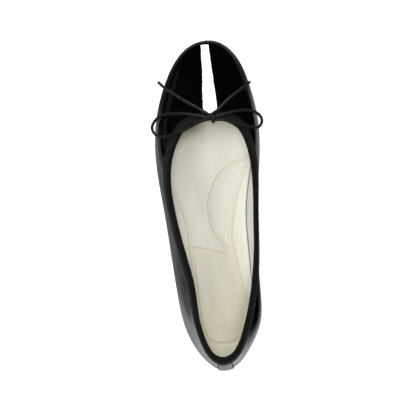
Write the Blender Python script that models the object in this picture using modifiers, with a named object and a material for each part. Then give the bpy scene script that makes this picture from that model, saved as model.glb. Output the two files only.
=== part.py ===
import math
from collections import namedtuple

import bmesh
import bpy
import numpy as np

# Left ballet flat with a cord bow.  +Y points to the toe, +X to the inner
# (medial) side, +Z up; the floor is z = 0.  Sizes are in millimetres.
MM = 0.001

# ---------------------------------------------------------------- sizes
LENGTH = 250.0          # heel to toe, EU 38
BALL_WIDTH = 79.5       # across the ball of the upper
INSTEP = 35.0           # throat of the vamp above the sole
HEEL_LIFT = 10.0        # heel block under the sole
SOLE_THICK = 3.5        # outsole
TOE_SPRING = 7.0        # toe of the sole above the floor
ARCH_FROM, ARCH_TO = 60.0, 150.0      # shank slopes between these, from the heel
SPRING_FROM = 196.0                   # toe spring starts here
WALL = 1.7              # leather and lining together
GAP = 0.3               # clearance between neighbours

SOLE_PROUD = 0.8        # outsole beyond the feather line
SOLE_ROUND = 1.2        # rounding of its lower edge
HEEL_BREAST = 56.0      # front face of the heel block, from the heel end
HEEL_SET_IN = 0.8       # heel block inside the sole edge
HEEL_TAPER = 1.4        # and narrower at the floor
BREAST_HOLLOW = 3.0     # hollow of its front face

INSOLE_IN = 2.9         # insole edge inside the feather line
INSOLE_THICK = 4.0
INSOLE_ROUND = 1.4
INSOLE_CUP = 1.2        # edge of the insole above its flat middle
ARCH_RAISE = 3.6        # and more of it at the inner arch
ARCH_TURN, ARCH_SPREAD = 84.0, 26.0   # where round the shoe, and how wide

BIND_OUT = 5.2          # binding: outer leg down the wall
BIND_IN = 4.0           # inner leg
BIND_THICK = 0.7
BIND_CROWN = 1.3        # rounded fold above the wall's edge

CORD_D = 2.2            # bow cord

AROUND = 88             # ribs round the shoe
LOW_STEPS, HIGH_STEPS = 4, 8          # steps up each rib

# ---------------------------------------------------------------- sections
# One row for each section of the last, a turn of 15 degrees apart from the
# heel (0) to the toe (180).  Widths are shares of the ball width in percent,
# lateral negative, medial positive; top_at is a share of the length; heights
# are shares of the instep.
Plan = namedtuple("Plan", "lat_out med_out top_at lat_top med_top lat_high med_high")
PLAN = [
    Plan(1.1, 1.1, 2.9, 0.4, 0.4, 133, 133),
    Plan(-11.6, 14.6, 4.0, -9.1, 10.0, 131, 131),
    Plan(-25.0, 27.0, 7.9, -17.1, 18.9, 125, 126),
    Plan(-35.6, 37.8, 16.0, -23.9, 27.4, 111, 112),
    Plan(-41.1, 38.5, 25.6, -27.1, 33.7, 97, 99),
    Plan(-45.4, 37.9, 37.2, -35.1, 37.6, 91, 94),
    Plan(-50.3, 39.0, 50.0, -43.2, 38.9, 94, 98),
    Plan(-55.2, 43.3, 62.0, -44.1, 38.0, 86, 90),
    Plan(-54.1, 43.8, 70.6, -35.0, 31.3, 84, 88),
    Plan(-45.9, 37.6, 74.2, -25.2, 22.7, 89, 92),
    Plan(-34.2, 28.4, 75.6, -14.8, 13.8, 96, 97),
    Plan(-19.3, 15.1, 76.05, -6.9, 7.5, 99, 99),
    Plan(-1.0, -1.0, 76.2, 0.8, 0.8, 100, 100),
]
# Shape of the wall at the same sections: height of the widest point as a share
# of the wall, tuck of the feather line under it (mm), how far the wall leans in
# just below the topline and how far below that lean begins (shares).
Wall = namedtuple("Wall", "lat_wide med_wide lat_tuck med_tuck lat_lean med_lean lat_drop med_drop")
WALLS = [
    Wall(0.27, 0.27, 1.4, 1.4, 0.50, 0.50, 0.25, 0.25),
    Wall(0.27, 0.27, 1.6, 1.6, 0.36, 0.36, 0.27, 0.27),
    Wall(0.28, 0.29, 2.0, 2.0, 0.08, 0.14, 0.30, 0.30),
    Wall(0.31, 0.33, 2.8, 2.8, 0.05, 0.12, 0.32, 0.32),
    Wall(0.34, 0.46, 3.6, 3.0, 0.05, 0.16, 0.33, 0.33),
    Wall(0.36, 0.74, 4.6, 4.2, 0.18, 0.20, 0.33, 0.33),
    Wall(0.38, 0.80, 4.6, 5.2, 0.26, 0.22, 0.33, 0.33),
    Wall(0.36, 0.46, 3.6, 3.2, 0.34, 0.34, 0.32, 0.32),
    Wall(0.32, 0.34, 3.2, 3.2, 0.42, 0.42, 0.30, 0.30),
    Wall(0.29, 0.30, 3.2, 3.2, 0.46, 0.46, 0.26, 0.26),
    Wall(0.28, 0.28, 3.2, 3.2, 0.50, 0.50, 0.23, 0.23),
    Wall(0.27, 0.27, 3.0, 3.0, 0.50, 0.50, 0.22, 0.22),
    Wall(0.27, 0.27, 3.0, 3.0, 0.50, 0.50, 0.22, 0.22),
]
STEP_DEG = 15.0


def round_loop(rows, med, lat):
    """Values once round the shoe: medial side heel to toe, lateral side back."""
    forth = [getattr(r, med) for r in rows]
    back = [getattr(r, lat) for r in rows[-2:0:-1]]
    return np.array(forth + back, dtype=float)


class Loop:
    """Smooth closed curve through values spaced evenly round the shoe."""

    def __init__(self, values):
        n = len(values)
        m = np.zeros((n, n))
        for i in range(n):
            m[i, i] = 4.0
            m[i, i - 1] = 1.0
            m[i, (i + 1) % n] = 1.0
        bend = 6.0 * (np.roll(values, 1) - 2.0 * values + np.roll(values, -1))
        self.values = values
        self.bends = np.linalg.solve(m, bend)

    def __call__(self, turn):
        p = np.mod(np.asarray(turn, dtype=float) / STEP_DEG, len(self.values))
        i = np.floor(p).astype(int) % len(self.values)
        j = (i + 1) % len(self.values)
        t = p - np.floor(p)
        s = 1.0 - t
        return (s * self.values[i] + t * self.values[j]
                + ((s ** 3 - s) * self.bends[i] + (t ** 3 - t) * self.bends[j]) / 6.0)


OUT_X = Loop(round_loop(PLAN, "med_out", "lat_out") * BALL_WIDTH / 100)
TOP_X = Loop(round_loop(PLAN, "med_top", "lat_top") * BALL_WIDTH / 100)
TOP_Y = Loop(round_loop(PLAN, "top_at", "top_at") * LENGTH / 100)
TOP_RISE = Loop(round_loop(PLAN, "med_high", "lat_high") * INSTEP / 100)
WIDE = Loop(round_loop(WALLS, "med_wide", "lat_wide"))
TUCK = Loop(round_loop(WALLS, "med_tuck", "lat_tuck"))
LEAN = Loop(round_loop(WALLS, "med_lean", "lat_lean"))
DROP = Loop(round_loop(WALLS, "med_drop", "lat_drop"))

TURNS = np.arange(AROUND) * 360.0 / AROUND
_fine = np.arange(720) * 0.5
SHIFT_X = -0.5 * (OUT_X(_fine).max() + OUT_X(_fine).min())
SHIFT_Y = -0.5 * LENGTH


def sole_bottom(y):
    """Underside of the outsole above the floor, y from the heel end."""
    a = np.clip((np.asarray(y, dtype=float) - ARCH_FROM) / (ARCH_TO - ARCH_FROM), 0, 1)
    fall = a * a * a * (10 + a * (6 * a - 15))
    t = np.clip((y - SPRING_FROM) / (LENGTH - SPRING_FROM), 0, 1.2)
    return HEEL_LIFT * (1 - fall) + TOE_SPRING * t ** 1.8


def outline(turn):
    return np.stack([OUT_X(turn), LENGTH / 2 * (1 - np.cos(np.radians(turn)))], -1)


def inward(turn):
    """Unit vector in plan from the outline into the shoe."""
    d = outline(np.asarray(turn) + 0.5) - outline(np.asarray(turn) - 0.5)
    n = np.stack([-d[..., 1], d[..., 0]], -1)
    return n / np.linalg.norm(n, axis=-1, keepdims=True)


def inset(turn, amount):
    """Outline moved into the shoe by the tuck and the given amount."""
    k = TUCK(turn) + amount
    return outline(turn) + inward(turn) * k[..., None]


def wall(turn, t):
    """Outer face of the upper: t 0..1 feather line to widest, 1..2 to topline."""
    turn = np.asarray(turn, dtype=float)
    t = np.asarray(t, dtype=float)
    turn, t = np.broadcast_arrays(turn, t)
    out, inn = outline(turn), inward(turn)
    top = np.stack([TOP_X(turn), TOP_Y(turn)], -1)
    z_top = sole_bottom(TOP_Y(turn)) + SOLE_THICK + TOP_RISE(turn)
    foot = out + inn * TUCK(turn)[..., None]
    z_foot = sole_bottom(foot[..., 1]) + SOLE_THICK + GAP
    z_wide = z_foot + (z_top - z_foot) * WIDE(turn)
    a = np.clip(t, 0, 1)
    b = np.clip(t - 1, 0, 1)
    # below the widest point: rolls in to the feather line
    k_in = (1 - a) ** 3 + 3 * (1 - a) ** 2 * a * 0.45
    rise = 3 * (1 - a) ** 2 * a * 0.10 + 3 * (1 - a) * a * a * 0.5 + a ** 3
    # above it: up, then over to the topline
    w1, w2, w3 = 3 * (1 - b) ** 2 * b, 3 * (1 - b) * b * b, b ** 3
    over = w2 * (1 - LEAN(turn)) + w3
    up = w1 * 0.5 + w2 * (1 - DROP(turn)) + w3
    plan = out + inn * (TUCK(turn) * k_in)[..., None] + (top - out) * over[..., None]
    z = np.where(t < 1, z_foot + (z_wide - z_foot) * rise, z_wide + (z_top - z_wide) * up)
    return np.concatenate([plan, z[..., None]], -1)


def unit(v):
    return v / np.linalg.norm(v, axis=-1, keepdims=True)


def wall_normal(turn, t):
    du = wall(np.asarray(turn) + 0.4, t) - wall(np.asarray(turn) - 0.4, t)
    dt = wall(turn, np.clip(np.asarray(t) + 0.02, 0, 2)) - wall(turn, np.clip(np.asarray(t) - 0.02, 0, 2))
    return unit(np.cross(du, dt))


def below_top(turn, depth):
    """t of the point a given distance down the wall from the topline."""
    ts = np.linspace(2.0, 0.6, 141)
    found = []
    for u in np.atleast_1d(turn):
        p = wall(np.full(ts.shape, u), ts)
        s = np.concatenate([[0], np.cumsum(np.linalg.norm(np.diff(p, axis=0), axis=1))])
        found.append(np.interp(depth, s, ts))
    return np.array(found)


# ---------------------------------------------------------------- helpers
def place(p):
    """Millimetres from the heel end to metres about the middle of the foot."""
    p = np.asarray(p, dtype=float)
    return (p + np.array([SHIFT_X, SHIFT_Y, 0.0])) * MM


def material(name, colour, roughness, coat=0.0):
    m = bpy.data.materials.new(name)
    m.use_nodes = True
    b = m.node_tree.nodes["Principled BSDF"]
    b.inputs["Base Color"].default_value = (*colour, 1.0)
    b.inputs["Roughness"].default_value = roughness
    b.inputs["Metallic"].default_value = 0.0
    b.inputs["Coat Weight"].default_value = coat
    m.diffuse_color = (*colour, 1.0)
    return m


def body(name, verts, faces, mat, closed=True):
    mesh = bpy.data.meshes.new(name)
    mesh.from_pydata([tuple(v) for v in place(verts)], [], faces)
    bm = bmesh.new()
    bm.from_mesh(mesh)
    bmesh.ops.remove_doubles(bm, verts=bm.verts, dist=1e-7)
    if closed:
        bmesh.ops.recalc_face_normals(bm, faces=bm.faces)
    bm.to_mesh(mesh)
    bm.free()
    mesh.materials.append(mat)
    ob = bpy.data.objects.new(name, mesh)
    parts.objects.link(ob)
    return ob


def ring_faces(rings, count, wrap=False):
    """Quads between rings of points that each go once round."""
    faces = []
    for r in range(rings if wrap else rings - 1):
        a, b = r * count, ((r + 1) % rings) * count
        for i in range(count):
            j = (i + 1) % count
            faces.append((a + i, a + j, b + j, b + i))
    return faces


def lid_faces(first, count):
    """Strips across a ring, from one side of the foot to the other."""
    faces = [(first, first + 1, first + count - 1)]
    half = count // 2
    for i in range(1, half - 1):
        faces.append((first + i, first + i + 1, first + count - i - 1, first + count - i))
    faces.append((first + half - 1, first + half, first + half + 1))
    return faces


def slab(name, rings, mat):
    """Flat piece of the foot's outline: stacked rings closed by two lids."""
    verts = np.concatenate(rings)
    faces = ring_faces(len(rings), AROUND)
    faces += lid_faces(0, AROUND) + lid_faces((len(rings) - 1) * AROUND, AROUND)
    return body(name, verts, faces, mat)


def lifted(plan, z):
    return np.concatenate([plan, np.asarray(z)[..., None]], -1)


# ---------------------------------------------------------------- scene
for ob in list(bpy.data.objects):
    bpy.data.objects.remove(ob, do_unlink=True)
parts = bpy.data.collections.new("bow_ballet_flat")
bpy.context.scene.collection.children.link(parts)

patent = material("patent_black", (0.012, 0.012, 0.013), 0.12, 1.0)
ribbon = material("ribbon_black", (0.018, 0.018, 0.019), 0.75)
cream = material("cream_leather", (0.62, 0.58, 0.48), 0.6)
sole_mat = material("sole_rubber", (0.05, 0.045, 0.04), 0.6)
heel_mat = material("heel_rubber", (0.04, 0.037, 0.034), 0.6)

# ---------------------------------------------------------------- upper
steps = np.concatenate([np.linspace(0, 1, LOW_STEPS + 1),
                        1 + np.linspace(0, 1, HIGH_STEPS + 1)[1:]])
ribs = np.concatenate([wall(TURNS, np.full(AROUND, t)) for t in steps])
upper = body("upper", ribs, ring_faces(len(steps), AROUND), patent, closed=False)
shell = upper.modifiers.new("wall", "SOLIDIFY")
shell.thickness = WALL * MM
shell.offset = -1.0
shell.use_even_offset = True
shell.use_rim = True

# ---------------------------------------------------------------- outsole
edge = inset(TURNS, -SOLE_PROUD)
low = inset(TURNS, -SOLE_PROUD + SOLE_ROUND)
floor_z = sole_bottom(edge[:, 1])
slab("outsole", [
    lifted(low, sole_bottom(low[:, 1])),
    lifted(edge, floor_z + SOLE_ROUND),
    lifted(edge, floor_z + SOLE_THICK),
], sole_mat)

# ---------------------------------------------------------------- heel block
heel_turns = np.linspace(-1, 1, 37)
reach = np.interp(HEEL_BREAST, edge[:AROUND // 2, 1], TURNS[:AROUND // 2])
heel_turns = heel_turns * reach
cross = np.linspace(0, 1, 9)[1:-1]


def heel_ring(amount, z):
    side = inset(heel_turns, amount)
    a, b = side[-1], side[0]
    front = a + (b - a) * cross[:, None]
    front[:, 1] -= BREAST_HOLLOW * 4 * cross * (1 - cross)
    plan = np.concatenate([side, front])
    return lifted(plan, np.full(len(plan), z))


heel_rings = [heel_ring(-SOLE_PROUD + HEEL_SET_IN + SOLE_ROUND * 0.4, HEEL_LIFT - GAP),
              heel_ring(-SOLE_PROUD + HEEL_SET_IN + SOLE_ROUND * 0.4 + HEEL_TAPER, 0.0)]
n = len(heel_rings[0])
body("heel", np.concatenate(heel_rings),
     ring_faces(2, n) + [tuple(range(n)), tuple(range(2 * n - 1, n - 1, -1))], heel_mat)

# ---------------------------------------------------------------- insole
def insole_raise(turn):
    """Edge of the insole above its flat middle."""
    return INSOLE_CUP + ARCH_RAISE * np.exp(-((turn - ARCH_TURN) / ARCH_SPREAD) ** 2)


def insole_top(plan):
    return sole_bottom(plan[:, 1]) + SOLE_THICK + GAP + INSOLE_THICK


rim = inset(TURNS, INSOLE_IN)
brow = inset(TURNS, INSOLE_IN + INSOLE_ROUND)
flat = inset(TURNS, INSOLE_IN + INSOLE_ROUND + 3 + 10 * np.sin(np.radians(TURNS)) ** 2)
slab("insole", [
    lifted(rim, insole_top(rim) - INSOLE_THICK),
    lifted(rim, insole_top(rim) - INSOLE_ROUND + insole_raise(TURNS)),
    lifted(brow, insole_top(brow) + insole_raise(TURNS)),
    lifted(flat, insole_top(flat)),
], cream)

# ---------------------------------------------------------------- binding
# Folded ribbon over the topline.  Each row is a corner of its section: how far
# down the wall, how far above the edge, how far out from the wall's outer face.
Fold = namedtuple("Fold", "down over out")
OUTER = GAP + BIND_THICK
INNER = -WALL - GAP - BIND_THICK
FOLDS = [
    Fold(BIND_OUT, 0, GAP),
    Fold(BIND_OUT, 0, OUTER),
    Fold(BIND_OUT / 2, 0, OUTER),
    Fold(0, 0.2, OUTER),
    Fold(0, BIND_CROWN * 0.75, OUTER * 0.45),
    Fold(0, BIND_CROWN, -WALL / 2),
    Fold(0, BIND_CROWN * 0.75, -WALL - OUTER * 0.45),
    Fold(0, 0.2, INNER),
    Fold(BIND_IN / 2, 0, INNER),
    Fold(BIND_IN, 0, INNER),
    Fold(BIND_IN, 0, -WALL - GAP),
    Fold(BIND_IN / 2, 0, -WALL - GAP),
    Fold(0, GAP, -WALL - GAP),
    Fold(0, GAP, GAP),
    Fold(BIND_OUT / 2, 0, GAP),
]
edge_up = unit(wall(TURNS, np.full(AROUND, 2.0)) - wall(TURNS, np.full(AROUND, 1.97)))
fold_rings = []
for f in FOLDS:
    t = below_top(TURNS, f.down)
    p = wall(TURNS, t) + wall_normal(TURNS, t) * f.out + edge_up * f.over
    fold_rings.append(p)
body("topline_binding", np.concatenate(fold_rings), ring_faces(len(FOLDS), AROUND, wrap=True), ribbon)

# ---------------------------------------------------------------- bow
# Round cord tied at the throat: a knot, two loops and two ends.  Each row is a
# bend of a cord in plan, from the knot outwards; the height follows the droop.
Bend = namedtuple("Bend", "x along")
KNOT = (-1.2, 191.0, 42.0)            # middle of the knot
KNOT_HALF = (2.6, 3.0, 2.1)
CORD_TOP = 41.2                       # cord axis at the knot
DROOP = 0.0115                        # fall per square millimetre of reach
CORD_STEP = 5.0                       # spacing of points along a cord
LOOP_LATERAL = [Bend(-4.9, 191.8), Bend(-11.4, 193.2), Bend(-19.6, 194.9), Bend(-28.0, 195.4),
                Bend(-36.2, 195.2), Bend(-42.4, 191.8), Bend(-45.8, 185.9), Bend(-43.2, 180.2),
                Bend(-36.2, 178.3), Bend(-24.3, 181.5), Bend(-12.0, 187.3), Bend(-4.8, 189.7)]
LOOP_MEDIAL = [Bend(2.5, 191.8), Bend(9.1, 193.2), Bend(17.5, 195.3), Bend(26.0, 195.8),
               Bend(33.0, 194.0), Bend(37.2, 189.8), Bend(37.2, 185.3), Bend(33.8, 182.3),
               Bend(27.0, 183.3), Bend(15.4, 186.9), Bend(8.2, 189.2), Bend(2.5, 189.4)]
END_LATERAL = [Bend(-3.4, 194.6), Bend(-12.8, 200.2), Bend(-20.8, 205.1), Bend(-27.2, 209.5),
               Bend(-34.3, 214.9), Bend(-39.4, 219.9)]
END_MEDIAL = [Bend(1.0, 194.6), Bend(4.8, 197.2), Bend(10.0, 201.9), Bend(16.8, 207.5), Bend(23.2, 212.2),
              Bend(29.7, 217.0)]


# Skin of the upper and of the binding that the cords lie on.
_turns = np.arange(90.0, 270.0, 0.75)
_skin = [wall(_turns, np.full(_turns.shape, t)) for t in np.linspace(0.9, 2.0, 75)]
for _down in np.linspace(0.0, BIND_OUT, 7):
    _t = below_top(_turns, _down)
    _skin.append(wall(_turns, _t) + wall_normal(_turns, _t) * OUTER)
SKIN = np.concatenate(_skin)


def rest_height(x, along):
    """Height at which a cord's axis lies on the skin below it."""
    reach = CORD_D / 2 + GAP
    d2 = (SKIN[:, 0] - x) ** 2 + (SKIN[:, 1] - along) ** 2
    near = d2 < reach ** 2
    return (SKIN[near, 2] + np.sqrt(reach ** 2 - d2[near])).max() if near.any() else 0.0


def smooth_route(bends, step):
    """Even points on a smooth curve through the bends, laid on the vamp."""
    p = np.array([(b.x, b.along) for b in bends])
    q = np.concatenate([[2 * p[0] - p[1]], p, [2 * p[-1] - p[-2]]])
    fine = [p[0]]
    for i in range(len(p) - 1):
        a, b, c, d = q[i:i + 4]
        for t in np.linspace(0, 1, 11)[1:]:
            fine.append(0.5 * (2 * b + (c - a) * t + (2 * a - 5 * b + 4 * c - d) * t * t
                               + (3 * b - a - 3 * c + d) * t ** 3))
    fine = np.array(fine)
    reach = np.hypot(fine[:, 0] - KNOT[0], fine[:, 1] - KNOT[1])
    rest = np.array([rest_height(x, y) for x, y in fine])
    z = np.maximum(rest, CORD_TOP - DROOP * reach ** 2)
    for _ in range(20):
        z[1:-1] = np.maximum(rest[1:-1], 0.5 * z[1:-1] + 0.25 * (z[:-2] + z[2:]))
    fine = lifted(fine, z)
    s = np.concatenate([[0], np.cumsum(np.linalg.norm(np.diff(fine, axis=0), axis=1))])
    even = np.linspace(0, s[-1], max(3, int(round(s[-1] / step)) + 1))
    return np.stack([np.interp(even, s, fine[:, k]) for k in range(3)], -1)


def cord(name, bends):
    pts = place(smooth_route(bends, CORD_STEP))
    data = bpy.data.curves.new(name, "CURVE")
    data.dimensions = "3D"
    data.bevel_depth = CORD_D / 2 * MM
    data.bevel_resolution = 2
    data.use_fill_caps = True
    line = data.splines.new("POLY")
    line.points.add(len(pts) - 1)
    for point, xyz in zip(line.points, pts):
        point.co = (*xyz, 1.0)
    data.materials.append(cord_mat)
    ob = bpy.data.objects.new(name, data)
    parts.objects.link(ob)
    return ob


cord_mat = material("cord_black", (0.016, 0.016, 0.017), 0.45)
cord("bow_loop_lateral", LOOP_LATERAL)
cord("bow_loop_medial", LOOP_MEDIAL)
cord("bow_end_lateral", END_LATERAL)
cord("bow_end_medial", END_MEDIAL)

bpy.ops.mesh.primitive_uv_sphere_add(segments=16, ring_count=10, radius=1.0)
knot = bpy.context.object
knot.name = "bow_knot"
knot.data.name = "bow_knot"
for v in knot.data.vertices:
    v.co = place([v.co[k] * KNOT_HALF[k] + KNOT[k] for k in range(3)])
knot.data.materials.append(cord_mat)
for c in list(knot.users_collection):
    c.objects.unlink(knot)
parts.objects.link(knot)
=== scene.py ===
import math
from collections import namedtuple

import bmesh
import bpy
import numpy as np
from mathutils import Matrix, Vector


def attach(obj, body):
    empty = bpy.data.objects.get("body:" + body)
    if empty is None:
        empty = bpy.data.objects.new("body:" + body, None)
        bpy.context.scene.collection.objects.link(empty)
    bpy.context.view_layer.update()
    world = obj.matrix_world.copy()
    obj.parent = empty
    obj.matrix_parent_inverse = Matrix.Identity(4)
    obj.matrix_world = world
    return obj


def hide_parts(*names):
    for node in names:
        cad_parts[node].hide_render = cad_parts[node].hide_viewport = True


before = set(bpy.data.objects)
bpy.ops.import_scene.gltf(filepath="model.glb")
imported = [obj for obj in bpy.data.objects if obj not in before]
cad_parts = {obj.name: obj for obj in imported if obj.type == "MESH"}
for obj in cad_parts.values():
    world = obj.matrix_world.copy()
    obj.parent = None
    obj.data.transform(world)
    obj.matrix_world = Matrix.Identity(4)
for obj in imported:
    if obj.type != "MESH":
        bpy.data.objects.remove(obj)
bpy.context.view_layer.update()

MM = 0.001

# ------------------------------------------------------------------ sizes, mm
LENGTH = 250.0
BALL_WIDTH = 79.5
INSTEP = 35.0
HEEL_LIFT = 10.0
SOLE_THICK = 3.5
TOE_SPRING = 7.0
ARCH_FROM, ARCH_TO = 60.0, 150.0
SPRING_FROM = 196.0
WALL = 1.7
GAP = 0.3
SOLE_PROUD = 0.8
SOLE_ROUND = 1.2
HEEL_BREAST = 56.0
HEEL_SET_IN = 0.8
HEEL_TAPER = 1.4
BREAST_HOLLOW = 3.0
INSOLE_IN = 2.9
INSOLE_THICK = 4.0
INSOLE_ROUND = 1.4
INSOLE_CUP = 1.2
ARCH_RAISE = 3.6
ARCH_TURN, ARCH_SPREAD = 84.0, 26.0
BIND_OUT = 5.2
BIND_IN = 4.0
BIND_THICK = 0.7
BIND_CROWN = 1.3
CORD_D = 2.2

RIB_PITCH = 1.7          # ribs of the ribbon
RIB_HIGH = 0.2
STITCH_PITCH = 2.2
SEAM_TURN = 82.0         # side seams, vamp to quarter

# ------------------------------------------------------------------ sections
Plan = namedtuple("Plan", "lat_out med_out top_at lat_top med_top lat_high med_high")
PLAN = [
    Plan(1.1, 1.1, 2.9, 0.4, 0.4, 133, 133),
    Plan(-11.6, 14.6, 4.0, -9.1, 10.0, 131, 131),
    Plan(-25.0, 27.0, 7.9, -17.1, 18.9, 125, 126),
    Plan(-35.6, 37.8, 16.0, -23.9, 27.4, 111, 112),
    Plan(-41.1, 38.5, 25.6, -27.1, 33.7, 97, 99),
    Plan(-45.4, 37.9, 37.2, -35.1, 37.6, 91, 94),
    Plan(-50.3, 39.0, 50.0, -43.2, 38.9, 94, 98),
    Plan(-55.2, 43.3, 62.0, -44.1, 38.0, 86, 90),
    Plan(-54.1, 43.8, 70.6, -35.0, 31.3, 84, 88),
    Plan(-45.9, 37.6, 74.2, -25.2, 22.7, 89, 92),
    Plan(-34.2, 28.4, 75.6, -14.8, 13.8, 96, 97),
    Plan(-19.3, 15.1, 76.05, -6.9, 7.5, 99, 99),
    Plan(-1.0, -1.0, 76.2, 0.8, 0.8, 100, 100),
]
Wall = namedtuple("Wall", "lat_wide med_wide lat_tuck med_tuck lat_lean med_lean lat_drop med_drop")
WALLS = [
    Wall(0.27, 0.27, 1.4, 1.4, 0.50, 0.50, 0.25, 0.25),
    Wall(0.27, 0.27, 1.6, 1.6, 0.36, 0.36, 0.27, 0.27),
    Wall(0.28, 0.29, 2.0, 2.0, 0.08, 0.14, 0.30, 0.30),
    Wall(0.31, 0.33, 2.8, 2.8, 0.05, 0.12, 0.32, 0.32),
    Wall(0.34, 0.46, 3.6, 3.0, 0.05, 0.16, 0.33, 0.33),
    Wall(0.36, 0.74, 4.6, 4.2, 0.18, 0.20, 0.33, 0.33),
    Wall(0.38, 0.80, 4.6, 5.2, 0.26, 0.22, 0.33, 0.33),
    Wall(0.36, 0.46, 3.6, 3.2, 0.34, 0.34, 0.32, 0.32),
    Wall(0.32, 0.34, 3.2, 3.2, 0.42, 0.42, 0.30, 0.30),
    Wall(0.29, 0.30, 3.2, 3.2, 0.46, 0.46, 0.26, 0.26),
    Wall(0.28, 0.28, 3.2, 3.2, 0.50, 0.50, 0.23, 0.23),
    Wall(0.27, 0.27, 3.0, 3.0, 0.50, 0.50, 0.22, 0.22),
    Wall(0.27, 0.27, 3.0, 3.0, 0.50, 0.50, 0.22, 0.22),
]
STEP_DEG = 15.0


def round_loop(rows, med, lat):
    forth = [getattr(r, med) for r in rows]
    back = [getattr(r, lat) for r in rows[-2:0:-1]]
    return np.array(forth + back, dtype=float)


class Loop:
    """Smooth closed curve through values spaced evenly round the shoe."""

    def __init__(self, values):
        n = len(values)
        m = np.zeros((n, n))
        for i in range(n):
            m[i, i] = 4.0
            m[i, i - 1] = 1.0
            m[i, (i + 1) % n] = 1.0
        bend = 6.0 * (np.roll(values, 1) - 2.0 * values + np.roll(values, -1))
        self.values = values
        self.bends = np.linalg.solve(m, bend)

    def __call__(self, turn):
        p = np.mod(np.asarray(turn, dtype=float) / STEP_DEG, len(self.values))
        i = np.floor(p).astype(int) % len(self.values)
        j = (i + 1) % len(self.values)
        t = p - np.floor(p)
        s = 1.0 - t
        return (s * self.values[i] + t * self.values[j]
                + ((s ** 3 - s) * self.bends[i] + (t ** 3 - t) * self.bends[j]) / 6.0)


OUT_X = Loop(round_loop(PLAN, "med_out", "lat_out") * BALL_WIDTH / 100)
TOP_X = Loop(round_loop(PLAN, "med_top", "lat_top") * BALL_WIDTH / 100)
TOP_Y = Loop(round_loop(PLAN, "top_at", "top_at") * LENGTH / 100)
TOP_RISE = Loop(round_loop(PLAN, "med_high", "lat_high") * INSTEP / 100)
WIDE = Loop(round_loop(WALLS, "med_wide", "lat_wide"))
TUCK = Loop(round_loop(WALLS, "med_tuck", "lat_tuck"))
LEAN = Loop(round_loop(WALLS, "med_lean", "lat_lean"))
DROP = Loop(round_loop(WALLS, "med_drop", "lat_drop"))
_fine = np.arange(720) * 0.5
SHIFT_X = -0.5 * (OUT_X(_fine).max() + OUT_X(_fine).min())
SHIFT_Y = -0.5 * LENGTH


def sole_bottom(y):
    a = np.clip((np.asarray(y, dtype=float) - ARCH_FROM) / (ARCH_TO - ARCH_FROM), 0, 1)
    fall = a * a * a * (10 + a * (6 * a - 15))
    t = np.clip((y - SPRING_FROM) / (LENGTH - SPRING_FROM), 0, 1.2)
    return HEEL_LIFT * (1 - fall) + TOE_SPRING * t ** 1.8


def outline(turn):
    return np.stack([OUT_X(turn), LENGTH / 2 * (1 - np.cos(np.radians(turn)))], -1)


def inward(turn):
    d = outline(np.asarray(turn) + 0.5) - outline(np.asarray(turn) - 0.5)
    n = np.stack([-d[..., 1], d[..., 0]], -1)
    return n / np.linalg.norm(n, axis=-1, keepdims=True)


def inset(turn, amount):
    k = TUCK(turn) + amount
    return outline(turn) + inward(turn) * k[..., None]


def wall(turn, t):
    """Outer face of the upper: t 0..1 feather line to widest, 1..2 to topline."""
    turn = np.asarray(turn, dtype=float)
    t = np.asarray(t, dtype=float)
    turn, t = np.broadcast_arrays(turn, t)
    out, inn = outline(turn), inward(turn)
    top = np.stack([TOP_X(turn), TOP_Y(turn)], -1)
    z_top = sole_bottom(TOP_Y(turn)) + SOLE_THICK + TOP_RISE(turn)
    foot = out + inn * TUCK(turn)[..., None]
    z_foot = sole_bottom(foot[..., 1]) + SOLE_THICK + GAP
    z_wide = z_foot + (z_top - z_foot) * WIDE(turn)
    a = np.clip(t, 0, 1)
    b = np.clip(t - 1, 0, 1)
    k_in = (1 - a) ** 3 + 3 * (1 - a) ** 2 * a * 0.45
    rise = 3 * (1 - a) ** 2 * a * 0.10 + 3 * (1 - a) * a * a * 0.5 + a ** 3
    w1, w2, w3 = 3 * (1 - b) ** 2 * b, 3 * (1 - b) * b * b, b ** 3
    over = w2 * (1 - LEAN(turn)) + w3
    up = w1 * 0.5 + w2 * (1 - DROP(turn)) + w3
    plan = out + inn * (TUCK(turn) * k_in)[..., None] + (top - out) * over[..., None]
    z = np.where(t < 1, z_foot + (z_wide - z_foot) * rise, z_wide + (z_top - z_wide) * up)
    return np.concatenate([plan, z[..., None]], -1)


def unit(v):
    return v / np.linalg.norm(v, axis=-1, keepdims=True)


def wall_normal(turn, t):
    du = wall(np.asarray(turn) + 0.4, t) - wall(np.asarray(turn) - 0.4, t)
    dt = wall(turn, np.clip(np.asarray(t) + 0.02, 0, 2)) - wall(turn, np.clip(np.asarray(t) - 0.02, 0, 2))
    return unit(np.cross(du, dt))


_SCAN = np.linspace(2.0, 0.6, 141)


def below_top(turns, depth):
    """t of the point a given distance (one or one per turn) down from the topline."""
    turns = np.atleast_1d(turns)
    depth = np.broadcast_to(depth, turns.shape)
    p = wall(turns[:, None], _SCAN[None, :])
    s = np.concatenate([np.zeros((len(turns), 1)),
                        np.cumsum(np.linalg.norm(np.diff(p, axis=1), axis=2), axis=1)], 1)
    return np.array([np.interp(d, row, _SCAN) for d, row in zip(depth, s)])


def place(p):
    return (np.asarray(p, dtype=float) + np.array([SHIFT_X, SHIFT_Y, 0.0])) * MM


def lifted(plan, z):
    return np.concatenate([plan, np.asarray(z)[..., None]], -1)


# ------------------------------------------------------------------ meshes
looks = bpy.data.collections.new("looks")
bpy.context.scene.collection.children.link(looks)


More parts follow.
